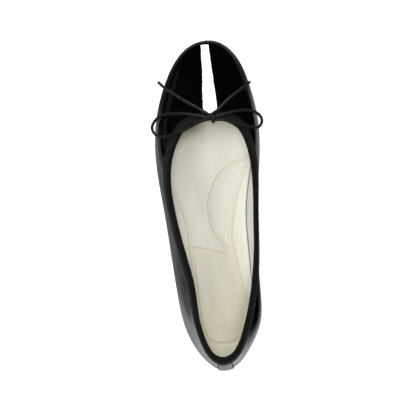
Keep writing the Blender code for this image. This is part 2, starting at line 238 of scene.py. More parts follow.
def make(name, verts, faces, mats, which=None, smooth=True):
    """Mesh object from points in millimetres."""
    mesh = bpy.data.meshes.new(name)
    mesh.from_pydata(place(verts).tolist(), [], faces)
    for m in mats:
        mesh.materials.append(m)
    if which is not None:
        mesh.polygons.foreach_set("material_index", np.asarray(which, dtype=np.int32))
    bm = bmesh.new()
    bm.from_mesh(mesh)
    bmesh.ops.recalc_face_normals(bm, faces=bm.faces)
    bm.to_mesh(mesh)
    bm.free()
    mesh.polygons.foreach_set("use_smooth", np.full(len(mesh.polygons), smooth))
    mesh.update()
    ob = bpy.data.objects.new(name, mesh)
    looks.objects.link(ob)
    return ob


def ring_faces(rings, count, wrap=False, first=0):
    faces = []
    for r in range(rings if wrap else rings - 1):
        a, b = first + r * count, first + ((r + 1) % rings) * count
        faces += [(a + i, a + (i + 1) % count, b + (i + 1) % count, b + i) for i in range(count)]
    return faces


def lid_faces(first, count):
    faces = [(first, first + 1, first + count - 1)]
    half = count // 2
    for i in range(1, half - 1):
        faces.append((first + i, first + i + 1, first + count - i - 1, first + count - i))
    faces.append((first + half - 1, first + half, first + half + 1))
    return faces


def part(ob, slot, *nodes):
    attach(ob, "root")
    if nodes:
        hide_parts(*nodes)
    return ob


# ------------------------------------------------------------------ materials
class Mat:
    """Small helper round a node material."""

    def __init__(self, name):
        self.m = bpy.data.materials.new(name)
        self.m.use_nodes = True
        self.t = self.m.node_tree
        self.b = self.t.nodes["Principled BSDF"]
        self.coord = self.t.nodes.new("ShaderNodeTexCoord")

    def set(self, **values):
        for k, v in values.items():
            s = self.b.inputs[k.replace("_", " ")]
            s.default_value = (*v, 1.0) if isinstance(v, tuple) and len(v) == 3 and s.type == "RGBA" else v
        return self

    def node(self, kind, **values):
        n = self.t.nodes.new(kind)
        for k, v in values.items():
            if hasattr(n, k):
                setattr(n, k, v)
            else:
                n.inputs[k.replace("_", " ")].default_value = v
        return n

    def link(self, a, b):
        self.t.links.new(a, b)

    def noise(self, scale, detail=3.0, rough=0.55, stretch=None):
        n = self.node("ShaderNodeTexNoise", Scale=scale, Detail=detail, Roughness=rough)
        if stretch:
            mp = self.node("ShaderNodeMapping")
            mp.inputs["Scale"].default_value = stretch
            self.link(self.coord.outputs["Object"], mp.inputs["Vector"])
            self.link(mp.outputs["Vector"], n.inputs["Vector"])
        else:
            self.link(self.coord.outputs["Object"], n.inputs["Vector"])
        return n.outputs["Fac"]

    def ramp(self, fac, stops):
        r = self.node("ShaderNodeValToRGB")
        e = r.color_ramp.elements
        while len(e) < len(stops):
            e.new(0.5)
        for el, (pos, col) in zip(e, stops):
            el.position = pos
            el.color = (*col, 1.0)
        self.link(fac, r.inputs["Fac"])
        return r.outputs["Color"]

    def bump(self, height, strength, distance, into=None):
        n = self.node("ShaderNodeBump", Strength=strength, Distance=distance)
        self.link(height, n.inputs["Height"])
        if into is not None:
            self.link(into, n.inputs["Normal"])
        return n.outputs["Normal"]

    def span(self, fac, low, high):
        n = self.node("ShaderNodeMapRange")
        n.inputs["To Min"].default_value = low
        n.inputs["To Max"].default_value = high
        self.link(fac, n.inputs["Value"])
        return n.outputs["Result"]


def patent_material():
    m = Mat("patent_leather").set(Roughness=0.3, IOR=1.5, Specular_IOR_Level=0.0, Coat_Weight=1.0,
                                  Coat_Roughness=0.015, Coat_IOR=1.55)
    m.link(m.ramp(m.noise(60.0, 4.0), [(0.3, (0.0008, 0.0008, 0.0009)), (0.7, (0.0018, 0.0018, 0.0019))]),
           m.b.inputs["Base Color"])
    peel = m.bump(m.noise(420.0, 2.0), 0.02, 0.0004)
    soft = m.bump(m.noise(60.0, 1.0), 0.02, 0.001, peel)
    m.link(soft, m.b.inputs["Coat Normal"])
    m.link(peel, m.b.inputs["Normal"])
    return m.m


def lining_material():
    m = Mat("lining").set(Roughness=0.7, Specular_IOR_Level=0.25)
    vamp = m.node("ShaderNodeAttribute", attribute_name="vamp")
    mix = m.node("ShaderNodeMixRGB", blend_type="MIX")
    m.link(vamp.outputs["Fac"], mix.inputs["Fac"])
    m.link(m.ramp(m.noise(90.0, 4.0), [(0.3, (0.70, 0.70, 0.66)), (0.7, (0.78, 0.78, 0.74))]), mix.inputs["Color1"])
    m.link(m.ramp(m.noise(900.0, 3.0), [(0.3, (0.56, 0.50, 0.41)), (0.7, (0.66, 0.60, 0.50))]), mix.inputs["Color2"])
    m.link(mix.outputs["Color"], m.b.inputs["Base Color"])
    grain = m.bump(m.noise(1600.0, 3.0), 0.25, 0.0004)
    m.link(grain, m.b.inputs["Normal"])
    return m.m


def ribbon_material():
    m = Mat("ribbon").set(Roughness=0.85, Specular_IOR_Level=0.06, Sheen_Weight=0.02, Sheen_Roughness=0.5)
    # painted highlight on the rib crests and painted shade in the troughs, from the rib attribute
    rib_painted_light = m.node("ShaderNodeAttribute", attribute_name="rib_painted_light")
    rib_light_tone = m.ramp(rib_painted_light.outputs["Fac"], [(0.2, (0.0042, 0.0042, 0.0043)), (0.8, (0.0150, 0.0150, 0.0155))])
    mix = m.node("ShaderNodeMixRGB", blend_type="MULTIPLY")
    mix.inputs["Fac"].default_value = 0.6
    m.link(rib_light_tone, mix.inputs["Color1"])
    m.link(m.ramp(m.noise(900.0, 3.0), [(0.3, (0.45, 0.45, 0.45)), (0.7, (1.0, 1.0, 1.0))]), mix.inputs["Color2"])
    m.link(mix.outputs["Color"], m.b.inputs["Base Color"])
    weave = m.bump(m.noise(4200.0, 2.0), 0.5, 0.00025)
    m.link(weave, m.b.inputs["Normal"])
    return m.m


def thread_material():
    m = Mat("thread_black").set(Roughness=0.7, Specular_IOR_Level=0.1, Sheen_Weight=0.03)
    m.link(m.ramp(m.noise(2500.0, 2.0), [(0.3, (0.004, 0.004, 0.004)), (0.7, (0.010, 0.010, 0.010))]),
           m.b.inputs["Base Color"])
    m.link(m.bump(m.noise(5000.0, 2.0), 0.4, 0.0002), m.b.inputs["Normal"])
    return m.m


def cream_material():
    m = Mat("cream_leather").set(Roughness=0.55, Specular_IOR_Level=0.35, Sheen_Weight=0.05)
    base = m.ramp(m.noise(70.0, 5.0, 0.6, (2.2, 0.35, 1.0)), [(0.28, (0.745, 0.724, 0.618)), (0.72, (0.805, 0.785, 0.68))])
    line_tint = m.node("ShaderNodeAttribute", attribute_name="press")
    mix = m.node("ShaderNodeMixRGB", blend_type="MIX")
    mix.inputs["Color2"].default_value = (0.60, 0.505, 0.325, 1.0)
    m.link(line_tint.outputs["Fac"], mix.inputs["Fac"])
    # painted warm shade: tints the insole colour warmer where it lies in shade
    painted_warm_shade = m.node("ShaderNodeAttribute", attribute_name="painted_warm_shade")
    tint = m.node("ShaderNodeMixRGB", blend_type="MULTIPLY")
    tint.inputs["Color2"].default_value = (0.985, 0.93, 0.815, 1.0)
    m.link(painted_warm_shade.outputs["Fac"], tint.inputs["Fac"])
    m.link(base, tint.inputs["Color1"])
    # painted shade: the shade attribute darkens the insole colour
    painted_shade = m.node("ShaderNodeAttribute", attribute_name="painted_shade")
    shade_mix = m.node("ShaderNodeMixRGB", blend_type="MULTIPLY")
    shade_mix.inputs["Color2"].default_value = (0.40, 0.40, 0.379, 1.0)
    m.link(painted_shade.outputs["Fac"], shade_mix.inputs["Fac"])
    m.link(tint.outputs["Color"], shade_mix.inputs["Color1"])
    m.link(shade_mix.outputs["Color"], mix.inputs["Color1"])
    m.link(mix.outputs["Color"], m.b.inputs["Base Color"])
    pores = m.node("ShaderNodeTexVoronoi", Scale=1500.0)
    m.link(m.coord.outputs["Object"], pores.inputs["Vector"])
    grain = m.bump(pores.outputs["Distance"], 0.10, 0.0003)
    m.link(m.bump(m.noise(420.0, 4.0), 0.10, 0.0005, grain), m.b.inputs["Normal"])
    m.link(m.span(m.noise(160.0, 3.0), 0.48, 0.62), m.b.inputs["Roughness"])
    return m.m


def rubber_material(name, dark, light):
    m = Mat(name).set(Roughness=0.6, Specular_IOR_Level=0.4)
    m.link(m.ramp(m.noise(250.0, 5.0, 0.65), [(0.3, dark), (0.7, light)]), m.b.inputs["Base Color"])
    m.link(m.bump(m.noise(900.0, 4.0), 0.3, 0.0004), m.b.inputs["Normal"])
    m.link(m.span(m.noise(120.0, 3.0), 0.5, 0.7), m.b.inputs["Roughness"])
    return m.m


def cord_material():
    m = Mat("cord_leather").set(Roughness=0.5, Specular_IOR_Level=0.1, Sheen_Weight=0.03)
    m.link(m.ramp(m.noise(700.0, 3.0), [(0.3, (0.004, 0.004, 0.0043)), (0.7, (0.009, 0.009, 0.0093))]),
           m.b.inputs["Base Color"])
    m.link(m.bump(m.noise(2600.0, 3.0), 0.35, 0.0003), m.b.inputs["Normal"])
    m.link(m.span(m.noise(500.0, 2.0), 0.44, 0.6), m.b.inputs["Roughness"])
    return m.m


PATENT = patent_material()
LINING = lining_material()
RIBBON = ribbon_material()
THREAD = thread_material()
CREAM = cream_material()
SOLE = rubber_material("sole_rubber", (0.016, 0.015, 0.014), (0.030, 0.028, 0.026))
LIFT = rubber_material("heel_rubber", (0.012, 0.011, 0.010), (0.024, 0.022, 0.020))
CORD = cord_material()

# ------------------------------------------------------------------ upper
STAY_HALF, STAY_TURN, STAY_LEAN = 5.4, 1.3, 0.9       # lean: sideways at the floor, mm
probe = np.linspace(-30, 30, 241)
line = wall(probe, np.full(probe.shape, 1.3))
arc = np.concatenate([[0], np.cumsum(np.linalg.norm(np.diff(line, axis=0), axis=1))])
arc -= np.interp(STAY_TURN, probe, arc)
Seam = namedtuple("Seam", "turn mm_per_deg deep wide shoulder leans")
side_mm = LENGTH / 2 * math.sin(math.radians(SEAM_TURN)) * math.pi / 180
stay_edge = np.interp([-STAY_HALF - 0.3, STAY_HALF + 0.3], arc, probe)
stay_mm = 2 * STAY_HALF / (stay_edge[1] - stay_edge[0])


def stay_shift(t):
    """Sideways lean of the backstay in degrees of turn."""
    return STAY_LEAN / stay_mm * np.clip(1 - t / 1.6, 0, 1)


SEAMS = [Seam(SEAM_TURN, side_mm, 0.5, 0.35, 0.16, 0), Seam(360.0 - SEAM_TURN, side_mm, 0.5, 0.35, 0.16, 0),
         Seam(stay_edge[0] + 360.0, stay_mm, 0.55, 0.4, 0.0, 1), Seam(stay_edge[1], stay_mm, 0.55, 0.4, 0.0, 1)]
turns = np.arange(0, 360, 0.75)
for s in SEAMS:
    turns = turns[np.abs(turns - s.turn) > 3.2 / s.mm_per_deg]
    turns = np.concatenate([turns, s.turn + np.linspace(-3.2, 3.2, 31) / s.mm_per_deg])
turns = np.sort(turns)
levels = np.concatenate([np.linspace(0, 1, 13), 1 + np.linspace(0, 1, 49)[1:]])
T, L = np.meshgrid(turns, levels)
skin = wall(T, L)
out_n = wall_normal(T, L)


def swell(p):
    """Slight unevenness of lasted leather, millimetres."""
    x, y, z = p[..., 0], p[..., 1], p[..., 2]
    return (0.005 * np.sin(x / 5.3 + y / 17.0 + 0.7) * np.sin(y / 9.0 - z / 7.0 + 1.9)
            + 0.006 * np.sin(x / 8.1 - y / 12.5 + z / 6.0 + 2.4))


def seam_form(turn, t):
    """Pressed lines of the seams with their soft shoulders."""
    h = np.zeros_like(turn)
    for s in SEAMS:
        d = (turn - s.turn - s.leans * stay_shift(t)) * s.mm_per_deg
        h += -s.deep * np.exp(-(d / s.wide) ** 2) + s.shoulder * np.exp(-((np.abs(d) - 1.0) / 0.7) ** 2)
    return h


outer = skin + out_n * (swell(skin) + seam_form(T, L))[..., None]
inner = skin - out_n * WALL
# lining runs down and in to the edge of the insole
foot_at = inset(turns, INSOLE_IN - 0.2)
foot_z = sole_bottom(foot_at[:, 1]) + SOLE_THICK + GAP + INSOLE_THICK + 0.6
reach = np.clip((foot_z[None, :] + 13.0 - inner[..., 2]) / 13.0, 0, 1)
reach = reach * reach * (3 - 2 * reach)
step_in = np.einsum("ijk,jk->ij", foot_at[None, :, :] - inner[..., :2], inward(turns))
inner[..., :2] += inward(turns)[None, :, :] * (np.maximum(step_in, 0) * reach)[..., None]
n, r = len(turns), len(levels)
verts = np.concatenate([outer.reshape(-1, 3), inner.reshape(-1, 3)])
faces = ring_faces(r, n)
in_faces = ring_faces(r, n, first=n * r)
rim_low = [(i, n * r + i, n * r + (i + 1) % n, (i + 1) % n) for i in range(n)]
a = (r - 1) * n
rim_top = [(a + i, a + (i + 1) % n, n * r + a + (i + 1) % n, n * r + a + i) for i in range(n)]
which = [0] * len(faces) + [1] * len(in_faces) + [0] * n + [1] * n
upper = make("upper_patent", verts, faces + in_faces + rim_low + rim_top, [PATENT, LINING], which)
vamp = np.zeros(2 * n * r, dtype=np.float32)
vamp[n * r:] = np.clip((inner[..., 1].reshape(-1) - 152.0) / 22.0, 0, 1)
upper.data.attributes.new("vamp", "FLOAT", "POINT").data.foreach_set("value", vamp)
part(upper, "patent_leather", "upper")

# ------------------------------------------------------------------ backstay
across = np.array([-1, -0.985, -0.95, -0.89, -0.8, -0.6, -0.4, -0.2, 0, 0.2, 0.4, 0.6, 0.8, 0.89, 0.95, 0.985, 1])
high = np.interp(np.abs(across), [0, 0.6, 0.89, 0.95, 0.985, 1], [0.55, 0.6, 0.85, 0.85, 0.6, 0.15])
stay_turns = np.interp(across * STAY_HALF, arc, probe)
t_top = below_top(stay_turns, BIND_OUT + 0.1)
rows = []
for k in np.linspace(0, 1, 40):
    t = 0.02 + (t_top - 0.02) * k
    rows.append((stay_turns + stay_shift(t), t))
top_pts, low_pts = [], []
for tt, t in rows:
    p, nn = wall(tt, t), wall_normal(tt, t)
    top_pts.append(p + nn * (high + 0.06)[:, None])
    low_pts.append(p + nn * 0.06)
m, c = len(rows), len(across)
verts = np.concatenate([np.concatenate(top_pts), np.concatenate(low_pts)])
faces = []
for i in range(m - 1):
    for j in range(c - 1):
        q = (i * c + j, i * c + j + 1, (i + 1) * c + j + 1, (i + 1) * c + j)
        faces.append(q)
        faces.append(tuple(m * c + v for v in reversed(q)))
for i in range(m - 1):
    for j in (0, c - 1):
        faces.append((i * c + j, (i + 1) * c + j, m * c + (i + 1) * c + j, m * c + i * c + j))
for j in range(c - 1):
    for i in (0, m - 1):
        faces.append((i * c + j, i * c + j + 1, m * c + i * c + j + 1, m * c + i * c + j))
part(make("backstay_strip", verts, faces, [PATENT]), "patent_leather")
verts, faces = [], []
for s0 in (-STAY_HALF - 0.35, STAY_HALF + 0.35):
    at = np.full(60, np.interp(s0, arc, probe))
    t = np.linspace(0.05, below_top(at[:1], BIND_OUT + 0.1)[0], 60)
    at = at + stay_shift(t)
    mid = wall(at, t) + wall_normal(at, t) * 0.12
    run = unit(np.gradient(mid, axis=0))
    out = wall_normal(at, t)
    flank = np.cross(run, out)
    base = len(verts)
    for p0, o0, f0 in zip(mid, out, flank):
        for k in np.arange(8) * math.pi / 4:
            verts.append(p0 + (o0 * math.sin(k) + f0 * math.cos(k)) * 0.36)
    for i in range(59):
        for j in range(8):
            jj = (j + 1) % 8
            faces.append((base + i * 8 + j, base + i * 8 + jj, base + (i + 1) * 8 + jj, base + (i + 1) * 8 + j))
    faces.append(tuple(base + j for j in reversed(range(8))))
    faces.append(tuple(base + 59 * 8 + j for j in range(8)))
part(make("backstay_seams", np.array(verts), faces, [THREAD]), "patent_leather")

# ------------------------------------------------------------------ binding
probe = np.arange(0, 360.01, 0.25)
line = wall(probe, np.full(probe.shape, 2.0))
arc = np.concatenate([[0], np.cumsum(np.linalg.norm(np.diff(line, axis=0), axis=1))])
ROUND_LENGTH = arc[-1]
ribs = int(round(ROUND_LENGTH / RIB_PITCH))
PER_RIB = 8
stations = np.arange(ribs * PER_RIB) / (ribs * PER_RIB)
b_turns = np.interp(stations * ROUND_LENGTH, arc, probe)
wave = 0.5 + 0.5 * np.cos(2 * math.pi * stations * ribs)
Fold = namedtuple("Fold", "down over out face")     # face: which way the ribs stand, out or up
OUTER = GAP + BIND_THICK
INNER = -WALL - GAP - BIND_THICK
FOLDS = [
    Fold(BIND_OUT, 0, GAP * 0.4, (0, 0)),
    Fold(BIND_OUT + 0.12, 0, OUTER * 0.55, (0.5, -0.2)),
    Fold(BIND_OUT - 0.1, 0, OUTER * 0.95, (1, 0)),
    Fold(BIND_OUT * 0.75, 0, OUTER + 0.05, (1, 0)),
    Fold(BIND_OUT * 0.5, 0, OUTER + 0.08, (1, 0)),
    Fold(BIND_OUT * 0.25, 0, OUTER + 0.06, (1, 0)),
    Fold(0, 0.2, OUTER, (1, 0.2)),
    Fold(0, BIND_CROWN * 0.62, OUTER * 0.70, (0.8, 0.6)),
    Fold(0, BIND_CROWN * 0.92, OUTER * 0.10, (0.4, 0.9)),
    Fold(0, BIND_CROWN, -WALL / 2, (0, 1)),
    Fold(0, BIND_CROWN * 0.92, -WALL - OUTER * 0.10, (-0.4, 0.9)),
    Fold(0, BIND_CROWN * 0.62, -WALL - OUTER * 0.70, (-0.8, 0.6)),
    Fold(0, 0.2, INNER, (-1, 0.2)),
    Fold(BIND_IN * 0.35, 0, INNER - 0.05, (-1, 0)),
    Fold(BIND_IN * 0.7, 0, INNER - 0.03, (-1, 0)),
    Fold(BIND_IN, 0, INNER + 0.05, (-1, 0)),
    Fold(BIND_IN + 0.1, 0, -WALL - GAP - 0.25, (-0.4, -0.2)),
    Fold(BIND_IN, 0, -WALL - GAP * 0.4, (0, 0)),
    Fold(0, GAP, -WALL - GAP * 0.4, (0, 0)),
    Fold(0, GAP, GAP * 0.4, (0, 0)),
]
Trim = namedtuple("Trim", "turn leg fold")      # outer leg longer, fold fuller to the inside, mm
TRIMS = [Trim(0, 0.4, 0.6), Trim(12, 0.9, 0.4), Trim(23, 1.3, 0.1), Trim(32, 1.1, 0), Trim(42, 0.6, 0), Trim(60, 0, 0),
         Trim(164, 0, 0), Trim(174, -1.0, 0), Trim(180, -1.2, 0), Trim(186, -1.0, 0), Trim(196, 0, 0), Trim(300, 0, 0),
         Trim(315, -0.4, 0), Trim(330, -0.6, 0.05), Trim(345, -0.3, 0.3), Trim(360, 0.4, 0.6)]


def trim(turn, what):
    """Table value at a turn, averaged over a few degrees so that no corner shows."""
    spread = np.linspace(-6, 6, 13)
    return np.interp(np.mod(turn[:, None] + spread, 360.0), [k.turn for k in TRIMS], [getattr(k, what) for k in TRIMS]).mean(1)


up_dir = unit(wall(b_turns, np.full(b_turns.shape, 2.0)) - wall(b_turns, np.full(b_turns.shape, 1.97)))
leg, fuller = trim(b_turns, "leg"), trim(b_turns, "fold")
teeth = np.clip(np.abs(b_turns - 180.0) / 12.0 - 0.4, 0, 1)
rings = []
for i, f in enumerate(FOLDS):
    edge = 1.2 * teeth * (wave - 0.5) if f.down >= BIND_OUT - 0.2 else 0.0
    longer = leg * f.down / BIND_OUT if f.out > 0 else 0.0
    t = below_top(b_turns, f.down + longer + edge)
    nn = wall_normal(b_turns, t)
    out = f.out - fuller if f.face[0] < 0 else np.full(b_turns.shape, f.out)
    rings.append(wall(b_turns, t) + nn * out[:, None] + up_dir * f.over
                 + (nn * f.face[0] + up_dir * f.face[1]) * (RIB_HIGH * wave)[:, None])
binding = make("topline_ribbon", np.concatenate(rings), ring_faces(len(FOLDS), len(b_turns), wrap=True), [RIBBON])
rib_light_attr = binding.data.attributes.new("rib_painted_light", "FLOAT", "POINT")
# painted shade: the fold and inner leg keep the dark trough tone; the outer face carries painted highlights on its rib
# crests
shade = np.array([1.0 if f.over < 0.5 and f.out > 0 else 0.3 for f in FOLDS])       # fold and inner leg stay dark
rib_light_attr.data.foreach_set("value", (shade[:, None] * wave[None, :]).reshape(-1).astype(np.float32))
part(binding, "ribbon", "topline_binding")


def stitch_row(name, centres, along_dir, up_n, length, thick, mat):
    """Row of short raised stitches, one joined mesh."""
    ring, steps = 6, 5
    ang = np.arange(ring) * 2 * math.pi / ring
    prof = [(-0.5, 0.35), (-0.32, 0.9), (0.0, 1.0), (0.32, 0.9), (0.5, 0.35)]
    verts, faces = [], []
    for c0, d, u in zip(centres, along_dir, up_n):
        side = np.cross(d, u)
        base = len(verts)
        for s, w in prof:
            mid = c0 + d * (s * length) + u * (thick * 0.25 * (1 - (2 * s) ** 2))
            for a0 in ang:
                verts.append(mid + (side * math.cos(a0) + u * math.sin(a0)) * thick / 2 * w)
        for k in range(steps - 1):
            for j in range(ring):
                jj = (j + 1) % ring
                faces.append((base + k * ring + j, base + k * ring + jj, base + (k + 1) * ring + jj, base + (k + 1) * ring + j))
        faces.append(tuple(base + j for j in reversed(range(ring))))
        faces.append(tuple(base + (steps - 1) * ring + j for j in range(ring)))
    return make(name, np.array(verts), faces, [mat])


count = int(round(ROUND_LENGTH / STITCH_PITCH))
s_turns = np.interp((np.arange(count) + 0.5) / count * ROUND_LENGTH, arc, probe)
t = below_top(s_turns, BIND_OUT - 0.9 + trim(s_turns, "leg"))
p0, nn = wall(s_turns, t), wall_normal(s_turns, t)
d = unit(wall(s_turns + 0.3, t) - wall(s_turns - 0.3, t))
part(stitch_row("binding_stitches", p0 + nn * (OUTER + RIB_HIGH + 0.08), d, nn, 1.5, 0.42, THREAD), "ribbon")

# ------------------------------------------------------------------ insole
Mark = namedtuple("Mark", "x along")


def route(marks, step):
    """Even points on a smooth plan curve through its bends."""
    p = np.array([(b.x, b.along) for b in marks], dtype=float)
    q = np.concatenate([[2 * p[0] - p[1]], p, [2 * p[-1] - p[-2]]])
    fine = [p[0]]
    for i in range(len(p) - 1):
        a, b, c, d = q[i:i + 4]
        for t in np.linspace(0, 1, 25)[1:]:
            fine.append(0.5 * (2 * b + (c - a) * t + (2 * a - 5 * b + 4 * c - d) * t * t
                               + (3 * b - a - 3 * c + d) * t ** 3))
    fine = np.array(fine)
    s = np.concatenate([[0], np.cumsum(np.linalg.norm(np.diff(fine, axis=0), axis=1))])
    even = np.linspace(0, s[-1], max(3, int(round(s[-1] / step)) + 1))
    return np.stack([np.interp(even, s, fine[:, k]) for k in range(2)], -1)


# Pressed channels of the padded insole, heel end 0, lateral negative.
ARCH_PAD = [Mark(29, 163), Mark(23.6, 159.9), Mark(12.2, 154.7), Mark(2.9, 146.2), Mark(-2.5, 135.0),
            Mark(-5.2, 126.8), Mark(-4.7, 117.7), Mark(-2.4, 106.2), Mark(2.9, 96.9), Mark(8.1, 88.8)]
MEDIAL_PAD = [Mark(28.6, 162.4), Mark(21.1, 148.6), Mark(17.3, 137.9), Mark(14.2, 128.1), Mark(11.0, 112.4),
              Mark(9.9, 98.0), Mark(11.8, 87.7), Mark(14.1, 75.3), Mark(17.2, 62.0), Mark(19.4, 46.8),
              Mark(18.6, 34.0), Mark(14.6, 24.2), Mark(8.4, 20.4), Mark(0.3, 19.4), Mark(-7.4, 21.2),
              Mark(-12.2, 26.4), Mark(-15.7, 38.0), Mark(-17.6, 59.1), Mark(-18.9, 75.8), Mark(-19.6, 84.2),
              Mark(-20.4, 93.4), Mark(-21.3, 104.0), Mark(-22.9, 114.0), Mark(-25.0, 121.6), Mark(-27.6, 127.8),
              Mark(-30.1, 134.4), Mark(-33.0, 144.0)]
HEEL_LINE = [Mark(-18.8, 93.6), Mark(-12.0, 92.2), Mark(-5.0, 90.1), Mark(2.0, 87.9), Mark(8.2, 86.0)]


def insole_raise(turn):
    return INSOLE_CUP + ARCH_RAISE * np.exp(-((turn - ARCH_TURN) / ARCH_SPREAD) ** 2)


def insole_level(y):
    return sole_bottom(y) + SOLE_THICK + GAP + INSOLE_THICK


ROWS, COLS = 700, 116
half = np.linspace(0, 180, ROWS + 1)
med_edge = inset(half, INSOLE_IN + INSOLE_ROUND)
lat_edge = inset(360.0 - half, INSOLE_IN + INSOLE_ROUND)
k = np.linspace(0, 1, COLS + 1)
plan = lat_edge[1:-1, None, :] + (med_edge - lat_edge)[1:-1, None, :] * k[None, :, None]
width = np.linalg.norm(med_edge - lat_edge, axis=1)[1:-1, None]
from_lat, from_med = width * k[None, :], width * (1 - k[None, :])
reach = 3 + 10 * np.sin(np.radians(half[1:-1, None])) ** 2
reach = np.minimum(reach, width * 0.5)


def cup(dist, reach):
    u = np.clip(1 - dist / reach, 0, 1)
    return u * u * (3 - 2 * u) * 0.6 + u * 0.4


rise_med = insole_raise(half[1:-1, None]) * cup(from_med, reach * 1.2)
rise_lat = insole_raise(360.0 - half[1:-1, None]) * cup(from_lat, reach)
ends = np.clip(1 - np.minimum(half[1:-1, None], 180 - half[1:-1, None]) / 14.0, 0, 1)
dish = np.maximum(np.maximum(rise_med, rise_lat), INSOLE_CUP * ends ** 1.5)


def distance_to(points, line):
    flat = points.reshape(-1, 2)
    best = np.full(len(flat), 1e9)
    at = np.zeros(len(flat))
    for i in range(len(line) - 1):
        a, b = line[i], line[i + 1]
        d = b - a
        s = np.clip(((flat - a) @ d) / (d @ d), 0, 1)
        dist = np.hypot(*(flat - a - s[:, None] * d).T)
        near = dist < best
        best = np.where(near, dist, best)
        at = np.where(near, (i + s) / (len(line) - 1), at)
    return best.reshape(points.shape[:-1]), at.reshape(points.shape[:-1])


relief = np.zeros(plan.shape[:2])
press = np.zeros(plan.shape[:2])
for marks, wide, deep, line_tint_share in ((ARCH_PAD, 1.0, 0.45, 0.6), (MEDIAL_PAD, 1.05, 0.45, 0.55), (HEEL_LINE, 0.45, 0.5, 0.6)):
    dist, at = distance_to(plan, route(marks, 2.5))
    fade = np.clip(np.minimum(at, 1 - at) * 30, 0, 1)
    trough = 1 / (1 + np.exp(np.minimum((dist - wide) / 0.17, 60.0)))
    pillow = np.exp(-((dist - wide - 1.6) / 1.5) ** 2) * (dist > wide)
    relief += fade * (-deep * trough + 0.22 * pillow)
    # tan tint along the pressed lines, stronger toward the heel
    line_tint_share = np.interp(plan[..., 1], [45, 95], [1.0, line_tint_share])
    press = np.maximum(press, line_tint_share * fade * np.exp(-((dist - wide) / 0.34) ** 2))

z_top = insole_level(plan[..., 1]) + dish + relief
grid = lifted(plan, z_top)
R = ROWS - 1
verts = [grid.reshape(-1, 3)]
cols = COLS + 1
faces = [(i * cols + j, i * cols + j + 1, (i + 1) * cols + j + 1, (i + 1) * cols + j)
         for i in range(R - 1) for j in range(COLS)]
heel_pt, toe_pt = med_edge[0], med_edge[-1]
tips = np.array([[*heel_pt, insole_level(heel_pt[1]) + INSOLE_CUP], [*toe_pt, insole_level(toe_pt[1]) + INSOLE_CUP]])
verts.append(tips)
H, O = R * cols, R * cols + 1
faces += [(H, j + 1, j) for j in range(COLS)]
faces += [(O, (R - 1) * cols + j, (R - 1) * cols + j + 1) for j in range(COLS)]
# edge: once round, medial heel to toe then lateral back
rim_ids = [H] + [i * cols + COLS for i in range(R)] + [O] + [i * cols for i in reversed(range(R))]
loop_turns = np.concatenate([half[:-1], 360.0 - half[::-1][:-1]])
count = len(rim_ids)
base = H + 2
all_top = np.concatenate(verts)
rim_z = all_top[rim_ids, 2]
edge_rings = []
for out_by, frac in ((0.75, 0.18), (1.15, 0.42), (INSOLE_ROUND, 1.0)):
    p = inset(loop_turns, INSOLE_IN + INSOLE_ROUND - out_by)
    edge_rings.append(lifted(p, rim_z - INSOLE_ROUND * frac))
low = inset(loop_turns, INSOLE_IN)
edge_rings.append(lifted(low, insole_level(low[:, 1]) - INSOLE_THICK))
verts += edge_rings
prev = rim_ids
for e in range(len(edge_rings)):
    now = [base + e * count + i for i in range(count)]
    faces += [(prev[i], prev[(i + 1) % count], now[(i + 1) % count], now[i]) for i in range(count)]
    prev = now
faces += lid_faces(base + (len(edge_rings) - 1) * count, count)
insole = make("insole_padded", np.concatenate(verts), faces, [CREAM])
attr = insole.data.attributes.new("press", "FLOAT", "POINT")
values = np.zeros(len(insole.data.vertices), dtype=np.float32)
values[:press.size] = press.reshape(-1)
attr.data.foreach_set("value", values)
side_gap = np.minimum(from_lat - 4.5, from_med)


def ramp_up(v):
    v = np.clip(v, 0, 1)
    return v * v * (3 - 2 * v)


# painted warm shade: a warmer tint toward the heel, along the lateral edge and at the lateral side of the throat, for
# warm bounce light in shaded places
painted_warm_shade = (0.6 * np.clip((112.0 - plan[..., 1]) / 70.0, 0, 1) + 0.45 * np.exp(-from_lat / 5.0)
        + 0.3 * (1.0 - k[None, :]) * np.clip((plan[..., 1] - 160.0) / 30.0, 0, 1))
# painted shade: the middle a little darker than the margins, with a darker path from the ball to the medial heel
painted_shade = 0.66 * ramp_up((side_gap - 3.0) / 14.0) * np.clip((178.0 - plan[..., 1]) / 42.0, 0, 1)
painted_shade = painted_shade * np.interp(plan[..., 1], [40, 85], [0.25, 1.0]) * (1.0 - 0.5 * k[None, :])
ShadePatch = namedtuple("ShadePatch", "along x dark")
SHADE_PATCHES = [ShadePatch(14, 9, 0), ShadePatch(30, 12, 0.62), ShadePatch(45, 16, 0.62), ShadePatch(60, 13, 0.48), ShadePatch(75, 5, 0.50), ShadePatch(91, 2, 0.52),
          ShadePatch(106, -1, 0.40), ShadePatch(121, -4.5, 0.38), ShadePatch(140, -6, 0.15), ShadePatch(155, -6, 0)]
path_x, path_dark = (np.interp(plan[..., 1], [t.along for t in SHADE_PATCHES], [getattr(t, f) for t in SHADE_PATCHES]) for f in ("x", "dark"))
painted_shade = painted_shade + path_dark * np.exp(-((plan[..., 0] - path_x) / 9.0) ** 2)
# painted shadow under the lateral side of the throat
painted_shade = painted_shade + 1.5 * np.exp(-((plan[..., 0] + 17.0) / 8.0) ** 2 - ((plan[..., 1] - 189.0) / 9.0) ** 2)
# and a painted shaded band along that side of the opening
off_line = (np.interp(plan[..., 0], [-28, -25, -20, -14, -8], [174.0, 178.5, 183.0, 185.6, 186.2]) - plan[..., 1]) \
    * np.interp(plan[..., 0], [-28, -22, -16, -8], [0.65, 0.72, 0.93, 1.0])
band = (np.exp(-(np.clip(off_line, 0, 40) / 6.0) ** 2) * np.interp(plan[..., 0], [-33, -29, -14, -10, -3], [0, 1, 1, 0.65, 0])
        * np.interp(plan[..., 1], [166, 172, 177, 180], [0, 0.4, 0.9, 1.0]))
